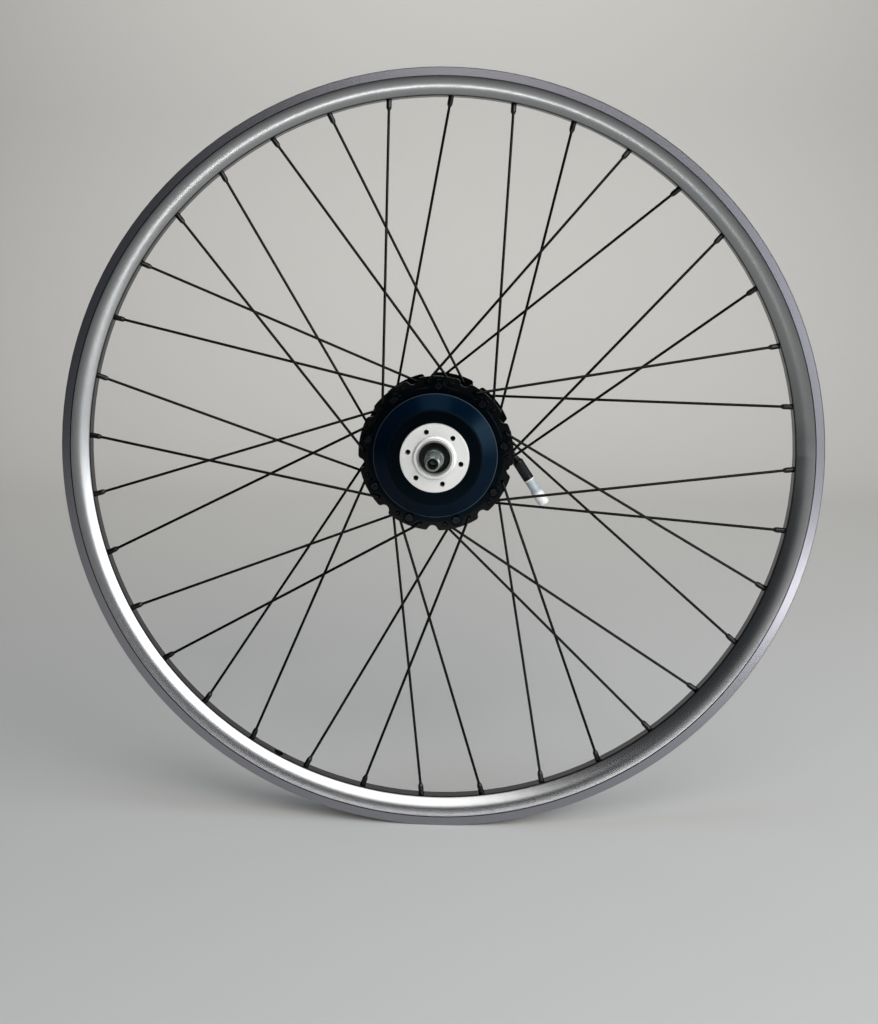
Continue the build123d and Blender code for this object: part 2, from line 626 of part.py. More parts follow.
def race(bearing, start_y, outer):
    """One race of a ball bearing, with its ball groove."""
    bore_r, outer_r, width = bearing
    pitch_r = (bore_r + outer_r) / 2
    wall = 0.29 * (outer_r - bore_r)
    low, high = (outer_r - wall, outer_r) if outer else (bore_r, bore_r + wall)
    section = Pos((low + high) / 2, start_y + width / 2) * Rectangle(high - low, width)
    section -= Pos(pitch_r, start_y + width / 2) * Circle(ball_r(bearing) + RUNNING_GAP)
    return revolve(section, Axis.Y)


def balls(bearing, start_y, count):
    bore_r, outer_r, width = bearing
    pitch_r = (bore_r + outer_r) / 2
    centre_y = start_y + width / 2
    return [on_circle(pitch_r, a, centre_y) * Sphere(ball_r(bearing)) for a in around(count)]


def shaft_seal(shaft_r, outer_r, y_start, y_end):
    """A rubber lip seal: a washer with a groove in its outer face and a thin lip."""
    return turned([
        (shaft_r, y_start),
        (shaft_r + 0.9, y_start),
        (shaft_r + 1.5, y_start + 0.5),
        (outer_r - 0.9, y_start + 0.5),
        (outer_r - 0.5, y_start),
        (outer_r, y_start),
        (outer_r, y_end),
        (shaft_r, y_end),
    ])


def cover_seal():
    return shaft_seal(SPACER_R + RUNNING_GAP, COVER_OPENING_R - SEAT_GAP, MOUNT_BACK_Y, COVER_BEARING_Y - 0.2)


def cable_seal():
    start = CABLE_BEARING_Y + CABLE_BEARING[2] + 0.3
    seal = shaft_seal(AXLE_CORE_R + RUNNING_GAP, CABLE_BEARING[1], -(DROPOUT_Y - 0.8), -start)
    return mirror(seal, Plane.XZ)


# ---------------------------------------------------------------- gears
def planet_angles():
    return around(PLANET_COUNT, FIRST_PLANET_ANGLE)


def planet_tooth_angle(direction):
    """Where a planet's tooth lies so that its teeth mesh with a sun tooth at angle 0."""
    sun_phase = direction * SUN_TEETH / 360.0
    return direction + 180.0 - (360.0 / PLANET_TEETH) * (0.5 - sun_phase)


def ring_space_angle():
    """Where a tooth space of the ring gear lies so that it takes the first planet's tooth."""
    direction = FIRST_PLANET_ANGLE
    planet_phase = (direction - planet_tooth_angle(direction)) * PLANET_TEETH / 360.0
    return direction - (360.0 / RING_TEETH) * planet_phase


def external_gear(teeth, tooth_angle):
    pitch_r = MODULE * teeth / 2
    return gear_outline(teeth, pitch_r - 1.25 * MODULE, pitch_r + 0.97 * MODULE, tooth_angle)


def sun_gear():
    """The pinion on the rotor: its teeth, and a collar that fits into the rotor's hub."""
    teeth_end = RETAINER_Y
    body = slab(external_gear(SUN_TEETH, 0), GEAR_START_Y, teeth_end)
    body += ring(0, SUN_COLLAR_R, teeth_end, ROTOR_BEARING_YS[0] - 0.3)
    return body - ring(0, SUN_BORE_R, GEAR_START_Y - 1, ROTOR_BEARING_YS[0])


def planet_gear(direction):
    """A planet gear with six lightening holes."""
    body = slab(external_gear(PLANET_TEETH, planet_tooth_angle(direction)), GEAR_START_Y, GEAR_END_Y)
    cuts = [ring(0, BUSH_R + SEAT_GAP, GEAR_START_Y - 1, GEAR_END_Y + 1)]
    hole = ring(0, PLANET_HOLE_R, GEAR_START_Y - 1, GEAR_END_Y + 1)
    cuts += [on_circle(PLANET_HOLE_CIRCLE_R, a) * hole for a in around(6, direction)]
    return on_circle(PLANET_CIRCLE_R, direction) * (body - cuts)


def planet_bush(direction):
    bush = ring(PLANET_PIN_R + RUNNING_GAP, BUSH_R, GEAR_START_Y - 0.4, GEAR_END_Y + 0.4)
    return on_circle(PLANET_CIRCLE_R, direction) * bush


def ring_gear():
    pitch_r = MODULE * RING_TEETH / 2
    bore = gear_outline(RING_TEETH, pitch_r - 0.97 * MODULE, pitch_r + 1.25 * MODULE, ring_space_angle())
    start = GEAR_START_Y - 0.5
    body = slab(Circle(BARREL_BORE_R - SEAT_GAP) - bore, start, start + RING_GEAR_WIDTH)
    keys = [on_circle(BARREL_BORE_R, a) * ring(0, 1.5 + SEAT_GAP, start - 1, start + RING_GEAR_WIDTH + 1)
            for a in around(3, SCREW_ANGLE + FLANGE_STEP)]
    return body - keys


def ring_gear_pins():
    start = GEAR_START_Y - 0.5
    pin = ring(0, 1.5, start, start + RING_GEAR_WIDTH)
    return joined([on_circle(BARREL_BORE_R, a) * pin for a in around(3, SCREW_ANGLE + FLANGE_STEP)])


# ---------------------------------------------------------------- carrier and clutch
def post_angles():
    return [a + 180.0 / PLANET_COUNT for a in planet_angles()]


def planet_carrier():
    """The carrier: a plate with three posts, and a hub that holds the clutch."""
    plate_end = CARRIER_PLATE_Y + CARRIER_PLATE
    body = ring(0, CARRIER_R, CARRIER_PLATE_Y, plate_end)
    body += ring(0, CARRIER_HUB_R, CLUTCH_START_Y, plate_end)
    for angle in post_angles():
        body += on_circle(POST_CIRCLE_R, angle) * ring(0, POST_R, plate_end, RETAINER_Y)
    cuts = [ring(0, CLUTCH_OUTER_R + SEAT_GAP, CLUTCH_START_Y - 1, plate_end + 1)]
    for angle in post_angles():
        cuts.append(on_circle(POST_CIRCLE_R, angle) * ring(0, 1.5 + SEAT_GAP, RETAINER_Y - 7, RETAINER_Y + 1))
    for angle in planet_angles():
        cuts.append(on_circle(PLANET_CIRCLE_R, angle) * ring(0, PLANET_PIN_R + SEAT_GAP, CARRIER_PLATE_Y - 1,
                                                             plate_end + 1))
    return body - cuts


def carrier_retainer():
    """The plate that closes the carrier over the planets."""
    sketch = Circle(CARRIER_R) - Circle(SUN_COLLAR_R + 2.5)
    sketch -= [Pos(*flat(PLANET_CIRCLE_R, a)) * Circle(PLANET_PIN_R + SEAT_GAP) for a in planet_angles()]
    sketch -= [Pos(*flat(POST_CIRCLE_R, a)) * Circle(1.5 + HOLE_GAP) for a in post_angles()]
    return slab(sketch, RETAINER_Y, RETAINER_Y + RETAINER_PLATE)


def carrier_screws():
    screw = socket_screw(1.5, RETAINER_PLATE + 6.0, 2.7, 1.6, 0.0).rotate(Axis.Z, 180)
    screw = Pos(0, RETAINER_Y + RETAINER_PLATE, 0) * screw
    return joined([on_circle(POST_CIRCLE_R, a) * screw for a in post_angles()])


def planet_pins():
    pin = ring(0, PLANET_PIN_R, CARRIER_PLATE_Y, RETAINER_Y + RETAINER_PLATE)
    return joined([on_circle(PLANET_CIRCLE_R, a) * pin for a in planet_angles()])


def clutch_inner_race():
    """The hardened race on the axle, with a collar up to the cover bearing."""
    end = CARRIER_PLATE_Y + CARRIER_PLATE
    bearing_end = COVER_BEARING_Y + COVER_BEARING[2]
    body = ring(AXLE_R + SEAT_GAP, CLUTCH_RACE_R, CLUTCH_START_Y, end)
    return body + ring(AXLE_R + SEAT_GAP, SPACER_R, bearing_end, CLUTCH_START_Y)


def clutch_outer_race():
    """The race pressed into the carrier: each roller has its own pocket."""
    end = CARRIER_PLATE_Y + CARRIER_PLATE
    sketch = Circle(CLUTCH_OUTER_R) - Circle(CLUTCH_RACE_R + 1.9)
    pocket_r = CLUTCH_RACE_R + ROLLER_R + 0.1
    sketch -= [Pos(*flat(pocket_r, a)) * Circle(ROLLER_R + 0.2) for a in around(ROLLER_COUNT)]
    return slab(sketch, CLUTCH_START_Y, end)


def clutch_rollers():
    end = CARRIER_PLATE_Y + CARRIER_PLATE
    roller = ring(0, ROLLER_R, CLUTCH_START_Y + 0.5, end - 0.5)
    pitch_r = CLUTCH_RACE_R + ROLLER_R + RUNNING_GAP
    return joined([on_circle(pitch_r, a) * roller for a in around(ROLLER_COUNT)])


# ---------------------------------------------------------------- motor
def rotor_bell():
    """The rotor's steel bell: hub, web with six windows, and the yoke round the magnets."""
    hub_start = RETAINER_Y + RETAINER_PLATE + 0.7
    bearing_start = ROTOR_BEARING_YS[0] - 0.2
    hub_end = ROTOR_BEARING_YS[1] + ROTOR_BEARING[2] + 0.3
    web_end = BELL_START_Y + 3.0
    body = turned([
        (SUN_COLLAR_R + SEAT_GAP, hub_start),
        (ROTOR_HUB_R, hub_start),
        (ROTOR_HUB_R, BELL_START_Y),
        (BELL_R, BELL_START_Y),
        (BELL_R, BELL_END_Y),
        (BELL_BORE_R + SEAT_GAP, BELL_END_Y),
        (BELL_BORE_R + SEAT_GAP, web_end),
        (ROTOR_HUB_R, web_end),
        (ROTOR_HUB_R, hub_end),
        (ROTOR_BEARING[1] + SEAT_GAP, hub_end),
        (ROTOR_BEARING[1] + SEAT_GAP, bearing_start),
        (SUN_COLLAR_R + SEAT_GAP, bearing_start),
    ])
    window_circle_r = (ROTOR_HUB_R + BELL_BORE_R) / 2 + 1.5
    windows = [on_circle(window_circle_r, a) * ring(0, 6.0, BELL_START_Y - 1, web_end + 1) for a in around(6)]
    return body - windows


def rotor_magnets():
    """Twenty curved magnets on the inside of the bell."""
    start, end = BELL_END_Y - 23.0, BELL_END_Y - 1.0
    sketch = Circle(BELL_BORE_R) - Circle(MAGNET_R)
    gap_half = 0.9
    ray = Pos(BELL_BORE_R / 2 + 10, 0) * Rectangle(BELL_BORE_R, 2 * gap_half)
    sketch -= [Rot(0, 0, a) * ray for a in around(MAGNET_COUNT)]
    return joined([slab(sketch, start, end)])


def stator_core():
    """Eighteen wound teeth with wide tips on a ring, as one lamination stack."""
    tip_depth = 1.6
    slot_opening = 2.6
    sketch = Circle(STATOR_BORE_R + 5.0) - Circle(STATOR_BORE_R)
    tooth_start, tooth_end = STATOR_BORE_R + 1.0, STATOR_R - 0.5
    tooth = Pos((tooth_start + tooth_end) / 2, 0) * Rectangle(tooth_end - tooth_start, TOOTH_WIDTH)
    tips = Circle(STATOR_R) - Circle(STATOR_R - tip_depth)
    opening = Pos(STATOR_R, 0) * Rectangle(6.0, slot_opening)
    tips -= [Rot(0, 0, a) * opening for a in around(STATOR_SLOTS, 180.0 / STATOR_SLOTS)]
    sketch += [Rot(0, 0, a) * tooth for a in around(STATOR_SLOTS)]
    sketch += tips
    sketch -= Pos(0, STATOR_BORE_R) * Rectangle(3.0 + 2 * SEAT_GAP, 3.0)
    return slab(sketch, STATOR_START_Y, STATOR_END_Y)


def stator_windings():
    """One copper coil round each stator tooth."""
    inner_r, outer_r = STATOR_BORE_R + 6.0, STATOR_R - 2.2
    outer_width = TOOTH_WIDTH + 2 * COIL_THICKNESS + 0.2
    middle_y = STATOR_START_Y + STATOR_LENGTH / 2
    block = Box(outer_r - inner_r, STATOR_LENGTH + 2 * COIL_OVERHANG, outer_width)
    block = fillet(block.edges().filter_by(Axis.X), 1.8)
    block -= Box(outer_r - inner_r + 2, STATOR_LENGTH + 0.2, TOOTH_WIDTH + 0.2)
    coil = Pos((inner_r + outer_r) / 2, middle_y, 0) * block
    return joined([spin(a) * coil for a in around(STATOR_SLOTS)])


def stator_spider():
    """The stator's carrier on the axle: hub, spoked web and outer ring."""
    web_start = STATOR_START_Y + 9.0
    hub_start = AXLE_CORE_START_Y + 1.8
    ring_inner = STATOR_BORE_R - 2.5
    body = ring(ring_inner, STATOR_BORE_R - SEAT_GAP, STATOR_START_Y, STATOR_END_Y)
    body += ring(AXLE_CORE_R + SEAT_GAP, ring_inner, web_start, web_start + 5.0)
    body += ring(AXLE_CORE_R + SEAT_GAP, AXLE_CORE_R + 3.5, hub_start, STATOR_END_Y)
    keyways = Pos(0, STATOR_BORE_R) * Rectangle(3.0 + 2 * SEAT_GAP, 3.0)
    keyways += Pos(0, AXLE_CORE_R) * Rectangle(3.0 + 2 * SEAT_GAP, 3.0)
    return body - slab(keyways, STATOR_START_Y - 1, STATOR_END_Y + 1)


def stator_keys():
    """Keys between axle and spider, and between spider and lamination stack."""
    inner = Pos(0, (STATOR_START_Y + 9.0 + STATOR_END_Y) / 2, AXLE_CORE_R) * Box(3.0, 10.0, 2.9)
    outer = Pos(0, STATOR_START_Y + STATOR_LENGTH / 2, STATOR_BORE_R) * Box(3.0, STATOR_LENGTH, 2.9)
    return joined([inner, outer])


def hall_sensor_board():
    """The ring-shaped sensor board on three standoffs, with its three sensors."""
    board_y = STATOR_END_Y + COIL_OVERHANG + 1.1
    body = ring(STATOR_BORE_R + 0.5, STATOR_R - 4.0, board_y, board_y + 1.6)
    for angle in (90.0, 210.0, 330.0):
        standoff = ring(0, 1.3, STATOR_END_Y, board_y)
        body += on_circle(STATOR_BORE_R + 2.6, angle) * standoff
    for angle in (80.0, 93.3, 106.7):
        sensor = Pos(STATOR_R - 7.0, board_y - 0.5, 0) * Box(3.2, 1.0, 4.0)
        body += spin(angle) * sensor
    return body


# ---------------------------------------------------------------- axle and cable
def axle():
    """The hollow axle: M12 ends, a thick core under the stator, and a slot for the leads."""
    body = turned([
        (0, -AXLE_END_Y),
        (AXLE_R - 0.8, -AXLE_END_Y),
        (AXLE_R, -AXLE_END_Y + 0.8),
        (AXLE_R, -DROPOUT_Y - AXLE_RELIEF / 2),
        (AXLE_R - 0.6, -DROPOUT_Y - AXLE_RELIEF / 2),
        (AXLE_R - 0.6, -DROPOUT_Y + AXLE_RELIEF / 2),
        (AXLE_R, -DROPOUT_Y + AXLE_RELIEF / 2),
        (AXLE_R, AXLE_CORE_START_Y),
        (AXLE_CORE_R, AXLE_CORE_START_Y),
        (AXLE_CORE_R, DROPOUT_Y),
        (AXLE_R, DROPOUT_Y),
        (AXLE_R, AXLE_END_Y - 0.8),
        (AXLE_R - 0.8, AXLE_END_Y),
        (0, AXLE_END_Y),
    ])
    slot_start, slot_end = STATOR_END_Y + 0.6, CABLE_BEARING_Y - 1.5
    cuts = [
        turned([(0, -AXLE_END_Y - 1), (AXLE_DISC_BORE_R + 1.2, -AXLE_END_Y - 1),
                (AXLE_DISC_BORE_R, -AXLE_END_Y + 0.8), (AXLE_DISC_BORE_R, -DROPOUT_Y), (0, -DROPOUT_Y + 2)]),
        ring(0, AXLE_CABLE_BORE_R, slot_start, AXLE_END_Y + 1),
        Pos(0, (slot_start + slot_end) / 2, -AXLE_CORE_R / 2) * Box(6.0, slot_end - slot_start, AXLE_CORE_R + 0.1),
        Pos(0, (STATOR_START_Y + 9.0 + STATOR_END_Y) / 2, AXLE_CORE_R) * Box(3.0 + 2 * SEAT_GAP, 10.1, 3.0),
    ]
    for side in (-1, 1):
        offset = side * (AXLE_FLATS / 2 + 2.5)
        middle = (DROPOUT_Y + AXLE_END_Y) / 2 + 0.5
        cuts.append(Pos(offset, middle, 0) * Box(5.0, AXLE_END_Y - DROPOUT_Y + 1.0, 2 * AXLE_R + 2))
    return body - cuts


def axle_spacer():
    """The sleeve between the cover bearing and the fork, chamfered at its outer end."""
    return turned([
        (AXLE_R + SEAT_GAP, -DROPOUT_Y),
        (SPACER_R - 0.6, -DROPOUT_Y),
        (SPACER_R, -DROPOUT_Y + 0.6),
        (SPACER_R, COVER_BEARING_Y),
        (AXLE_R + SEAT_GAP, COVER_BEARING_Y),
    ])


def retaining_rings():
    """Clips beside the clutch race, between the rotor bearings and behind the stator spider."""
    thickness = 0.8

    def clip(radius, y):
        sketch = Circle(radius + 1.6) - Circle(radius + SEAT_GAP) - Pos(0, -radius) * Rectangle(5.2, 6)
        return slab(sketch, y, y + thickness)

    race_end = CARRIER_PLATE_Y + CARRIER_PLATE
    between = (ROTOR_BEARING_YS[0] + ROTOR_BEARING[2] + ROTOR_BEARING_YS[1] - thickness) / 2
    return joined([clip(AXLE_R, race_end), clip(AXLE_R, between), clip(AXLE_CORE_R, STATOR_END_Y)])


def tangent_radii(points):
    """The arc radius at each corner: as large as its two runs allow."""
    radii = []
    for before, here, after in zip(points, points[1:], points[2:]):
        first, second = here - before, after - here
        turn = radians(first.get_angle(second))
        radii.append(0.45 * min(first.length, second.length) / tan(turn / 2))
    return radii


def cable_points():
    return [Vector(x, AXLE_END_Y + y, z) for x, y, z in CABLE_ROUTE]


def motor_cable():
    points = cable_points()
    radii = tangent_radii(points)
    path = FilletPolyline(*points, radius=radii)
    print("cable arc radii:", [round(r, 1) for r in radii], "length:", round(path.length, 1))
    start = Plane(origin=points[0], z_dir=points[1] - points[0])
    tube = sweep(start * Circle(CABLE_R), path=path)
    print("cable volume over section times length:", round(tube.volume / (pi * CABLE_R ** 2 * path.length), 5))
    return tube


def cable_core():
    """The cable's end inside the axle, up to the slot where its leads part."""
    return ring(0, CABLE_R, CABLE_BEARING_Y + 2.0, AXLE_END_Y)


def phase_leads():
    """Three leads from the cable's end, out through the axle's slot, to the windings."""
    leads = []
    wire_r = 0.75
    y_out = STATOR_END_Y + 2.4
    for x in (-1.75, 0.0, 1.75):
        points = [Vector(x, CABLE_BEARING_Y + 2.0, 0), Vector(x, y_out, 0), Vector(x, y_out, -STATOR_BORE_R - 3.5)]
        path = FilletPolyline(*points, radius=2.2)
        leads.append(sweep(Plane(origin=points[0], z_dir=(0, -1, 0)) * Circle(wire_r), path=path))
    return joined(leads)


def cable_grommet():
    """The tapered, ribbed rubber boot where the cable leaves the axle."""
    outer = AXLE_R - 0.9
    points = [(CABLE_R + RUNNING_GAP, AXLE_END_Y), (outer, AXLE_END_Y)]
    y, radius = AXLE_END_Y, outer
    for _ in range(5):
        points += [(radius, y + 1.7), (radius - 0.8, y + 1.9), (radius - 0.8, y + 2.5), (radius - 0.28, y + 2.7)]
        y, radius = y + 2.7, radius - 0.28
    points += [(CABLE_R + 0.7, y + 0.6), (CABLE_R + RUNNING_GAP, y + 0.6)]
    return turned(points)


# ---------------------------------------------------------------- plug
def plug_plane(distance):
    """A plane across the plug, a distance past the cable's end, facing along the plug."""
    before, last = cable_points()[-2:]
    direction = (last - before).normalized()
    return Plane(origin=last + direction * distance, z_dir=direction)


def lathe(points):
    """A solid turned about local Z from (radius, z) points."""
    face = make_face(Polyline(*[(r, 0, z) for r, z in points], close=True))
    return revolve(face, Axis.Z)


def plug_boot():
    body = lathe([(0, 0), (CABLE_R + 0.5, 0), (CABLE_R + 0.7, 0.8), (CABLE_R + 0.2, 1.0), (CABLE_R + 0.2, 1.5),
                  (CABLE_R + 0.9, 1.7), (CABLE_R + 1.2, PLUG_BOOT_LENGTH), (0, PLUG_BOOT_LENGTH)])
    return plug_plane(0) * body


def plug_body():
    """The plug's moulded body, with grip ribs, hollow at its front for the insert."""
    body = lathe([(0, 0), (PLUG_R - 1.0, 0), (PLUG_R, 1.2), (PLUG_R, PLUG_LENGTH - 0.4),
                  (PLUG_R - 0.4, PLUG_LENGTH), (0, PLUG_LENGTH)])
    low = (Align.CENTER, Align.CENTER, Align.MIN)
    cuts = [Pos(0, 0, PLUG_LENGTH - NOSE_SEAT) * Cylinder(NOSE_R + SEAT_GAP, NOSE_SEAT + 1, align=low)]
    for k in range(16):
        flute = Pos(PLUG_R + 0.35, 0, 3.0) * Cylinder(0.7, PLUG_LENGTH - 6.0, align=low)
        cuts.append(Rot(0, 0, k * 22.5) * flute)
    return plug_plane(PLUG_BOOT_LENGTH) * (body - cuts)


def plug_insert():
    """The insert that carries the pins and stands out of the plug's front."""
    low = (Align.CENTER, Align.CENTER, Align.MIN)
    length = NOSE_SEAT + NOSE_LENGTH
    body = Cylinder(NOSE_R, length, align=low)
    body -= Pos(0, 0, length - 6) * Cylinder(NOSE_R - 0.7, 7, align=low)
    body -= Pos(NOSE_R, 0, length - 5) * Box(1.2, 1.6, 12)
    body -= [Pos(*pin_place(k), 3.0) * Cylinder(0.4 + SEAT_GAP, NOSE_LENGTH, align=low) for k in range(9)]
    return plug_plane(PLUG_BOOT_LENGTH + PLUG_LENGTH - NOSE_SEAT) * body


def pin_place(index):
    """Pin places in the insert: one in the middle and eight around it."""
    if index == 0:
        return (0.0, 0.0)
    return flat(PIN_CIRCLE_R, index * 45.0)


def plug_pins():
    low = (Align.CENTER, Align.CENTER, Align.MIN)
    pins = [Pos(*pin_place(k), 3.0) * Cylinder(0.4, NOSE_LENGTH, align=low) for k in range(9)]
    return joined([plug_plane(PLUG_BOOT_LENGTH + PLUG_LENGTH - NOSE_SEAT) * pin for pin in pins])


def plug_cap():
    """The soft clear cap pushed over the plug's nose."""
    inner = NOSE_R + RUNNING_GAP
    wide = CAP_R - CAP_WALL
    flare = NOSE_LENGTH - 1.5
    body = lathe([(inner, 0), (CAP_SLEEVE_R, 0), (CAP_SLEEVE_R, 1.2), (CAP_SLEEVE_R - 0.15, 1.5),
                  (CAP_SLEEVE_R - 0.15, flare - 1.0), (CAP_R, flare + 2.0), (CAP_R, CAP_LENGTH - 1.8),
                  (CAP_R - 0.5, CAP_LENGTH - 0.5), (CAP_R - 1.8, CAP_LENGTH), (0, CAP_LENGTH),
                  (0, CAP_LENGTH - CAP_WALL), (wide - 1.2, CAP_LENGTH - CAP_WALL), (wide, CAP_LENGTH - CAP_WALL - 1.2),
                  (wide, flare + 2.6), (inner, flare)])
    return plug_plane(PLUG_BOOT_LENGTH + PLUG_LENGTH) * body


# ---------------------------------------------------------------- build
def spoke_groups():
    """Spoke numbers by flange and by the face that they leave."""
    names = ["disc_outer_spokes", "cable_outer_spokes", "disc_inner_spokes", "cable_inner_spokes"]
    return {name: list(range(first, SPOKE_COUNT, 4)) for first, name in enumerate(names)}


def build():
    write("rim", rim())
    write("spoke_nipples", joined([nipple(k) for k in range(SPOKE_COUNT)]))
    for name, indices in spoke_groups().items():
        write(name, joined([spoke(k) for k in indices]))
    write("hub_shell", hub_shell())
    write("disc_side_cover", disc_side_cover())
    write("cover_gasket", cover_gasket())
    write("cover_screws", cover_screws())
    write("disc_rotor_mount", disc_rotor_mount())
    write("disc_mount_screws", disc_mount_screws())
    write("cover_seal", cover_seal())
    write("cable_seal", cable_seal())
    write("ring_gear", ring_gear())
    write("ring_gear_pins", ring_gear_pins())
    write("sun_gear", sun_gear())
    for number, direction in enumerate(planet_angles(), start=1):
        write("planet_gear_" + str(number), planet_gear(direction))
        write("planet_bush_" + str(number), planet_bush(direction))
    write("planet_carrier", planet_carrier())
    write("carrier_retainer", carrier_retainer())
    write("carrier_screws", carrier_screws())
    write("planet_pins", planet_pins())
    write("clutch_inner_race", clutch_inner_race())
    write("clutch_outer_race", clutch_outer_race())
    write("clutch_rollers", clutch_rollers())
    write("rotor_bell", rotor_bell())
    write("rotor_magnets", rotor_magnets())
    write("stator_core", stator_core())
    write("stator_windings", stator_windings())
    write("stator_spider", stator_spider())
    write("stator_keys", stator_keys())
    write("hall_sensor_board", hall_sensor_board())
    write("cover_bearing_inner_race", race(COVER_BEARING, COVER_BEARING_Y, False))
    write("cover_bearing_outer_race", race(COVER_BEARING, COVER_BEARING_Y, True))
    write("cover_bearing_balls", joined(balls(COVER_BEARING, COVER_BEARING_Y, 8)))
    write("cable_bearing_inner_race", race(CABLE_BEARING, CABLE_BEARING_Y, False))
    write("cable_bearing_outer_race", race(CABLE_BEARING, CABLE_BEARING_Y, True))
    write("cable_bearing_balls", joined(balls(CABLE_BEARING, CABLE_BEARING_Y, 12)))
    write("rotor_bearing_inner_races", joined([race(ROTOR_BEARING, y, False) for y in ROTOR_BEARING_YS]))
    write("rotor_bearing_outer_races", joined([race(ROTOR_BEARING, y, True) for y in ROTOR_BEARING_YS]))
    rotor_balls = [ball for y in ROTOR_BEARING_YS for ball in balls(ROTOR_BEARING, y, 12)]
    write("rotor_bearing_balls", joined(rotor_balls))
    write("axle", axle())
    write("axle_spacer", axle_spacer())
    write("retaining_rings", retaining_rings())
    write("cable_core", cable_core())
    write("phase_leads", phase_leads())
    write("cable_grommet", cable_grommet())
    write("motor_cable", motor_cable())
    write("plug_boot", plug_boot())
    write("plug_body", plug_body())
    write("plug_insert", plug_insert())
    write("plug_pins", plug_pins())
    write("plug_cap", plug_cap())


build()
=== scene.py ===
"""Looks for the hub motor wheel: camera, cord, materials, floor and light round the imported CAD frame.

Lengths are metres in the row frame: +Y runs along the axle from the brake disc side to the cable side, and
+Z is up.
"""
import json
import math

import bpy
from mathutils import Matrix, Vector


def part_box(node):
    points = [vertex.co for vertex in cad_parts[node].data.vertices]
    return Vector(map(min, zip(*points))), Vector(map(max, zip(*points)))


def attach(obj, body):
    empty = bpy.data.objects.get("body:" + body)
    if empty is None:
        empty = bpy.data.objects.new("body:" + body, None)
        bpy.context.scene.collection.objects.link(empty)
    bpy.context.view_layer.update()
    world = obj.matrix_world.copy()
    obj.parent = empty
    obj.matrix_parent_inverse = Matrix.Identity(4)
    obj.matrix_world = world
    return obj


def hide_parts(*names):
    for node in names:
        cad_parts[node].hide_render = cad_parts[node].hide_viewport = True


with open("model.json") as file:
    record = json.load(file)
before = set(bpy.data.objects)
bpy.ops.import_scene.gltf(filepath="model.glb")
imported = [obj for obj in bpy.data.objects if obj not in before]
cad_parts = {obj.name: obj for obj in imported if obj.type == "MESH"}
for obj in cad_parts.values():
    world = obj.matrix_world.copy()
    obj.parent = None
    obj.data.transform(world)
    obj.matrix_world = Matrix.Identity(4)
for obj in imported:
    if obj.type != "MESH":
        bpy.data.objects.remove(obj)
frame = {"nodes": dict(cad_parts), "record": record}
scene = bpy.context.scene
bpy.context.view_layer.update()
scene.view_settings.view_transform = "Standard"


# ---------------------------------------------------------------- camera
LENS_MM = 42.19
FRAME_SHIFT = (0.0305, -0.1392)
CAMERA_PLACE = (0.0405, -1.0011, 0.1338)
CAMERA_YAW, CAMERA_PITCH = math.radians(-3.69), math.radians(-3.69)
SENSOR_MM = 36.0
VIEW_NEAR, VIEW_FAR = 0.05, 60.0

cam_data = bpy.data.cameras.new("camera")
cam_data.sensor_fit = "AUTO"
cam_data.sensor_width = SENSOR_MM
cam_data.lens = LENS_MM
cam_data.shift_x, cam_data.shift_y = FRAME_SHIFT
cam_data.clip_start, cam_data.clip_end = VIEW_NEAR, VIEW_FAR
camera = bpy.data.objects.new("camera", cam_data)
scene.collection.objects.link(camera)
ahead = math.cos(CAMERA_PITCH)
look = Vector((math.sin(CAMERA_YAW) * ahead, math.cos(CAMERA_YAW) * ahead, math.sin(CAMERA_PITCH)))
camera.location = CAMERA_PLACE
camera.rotation_mode = "QUATERNION"
camera.rotation_quaternion = look.to_track_quat("-Z", "Y")
scene.camera = camera


# ---------------------------------------------------------------- motor cable
CABLE_D = 0.0056
CABLE_ROUTE = [
    (0.0, 0.075, 0.0),
    (0.0, 0.092, 0.0),
    (0.0086, 0.107, 0.0008),
    (0.0236, 0.1155, 0.0014),
    (0.046, 0.117, 0.0004),
    (0.0609, 0.1165, -0.008),
    (0.069, 0.116, -0.0206),
]
PLUG_AXIS = (Vector(CABLE_ROUTE[-1]) - Vector(CABLE_ROUTE[-2])).normalized()
PLUG_BOOT, PLUG_BODY = 0.0030, 0.0207  # lengths along the plug's axis, from the cord's end to the cap
PLUG_JOINT = Vector(CABLE_ROUTE[-1]) + (PLUG_BOOT + PLUG_BODY) * PLUG_AXIS


def nurbs_cord(name, points, diameter):
    """A round cord along a NURBS path through its two end points."""
    curve = bpy.data.curves.new(name, "CURVE")
    curve.dimensions = "3D"
    curve.bevel_depth = 1.0
    curve.bevel_resolution = 8
    curve.resolution_u = 16
    curve.use_fill_caps = True
    spline = curve.splines.new("NURBS")
    spline.points.add(len(points) - 1)
    for point, place in zip(spline.points, points):
        point.co = (*place, 1.0)
        point.radius = diameter / 2  # times a bevel of 1, as a curve's box takes in each point's radius
    spline.order_u = 3
    spline.use_endpoint_u = True
    obj = bpy.data.objects.new(name, curve)
    scene.collection.objects.link(obj)
    return obj


cable = nurbs_cord("motor_cable_sheath", CABLE_ROUTE, CABLE_D)
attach(cable, "axle_unit")
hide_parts("motor_cable")


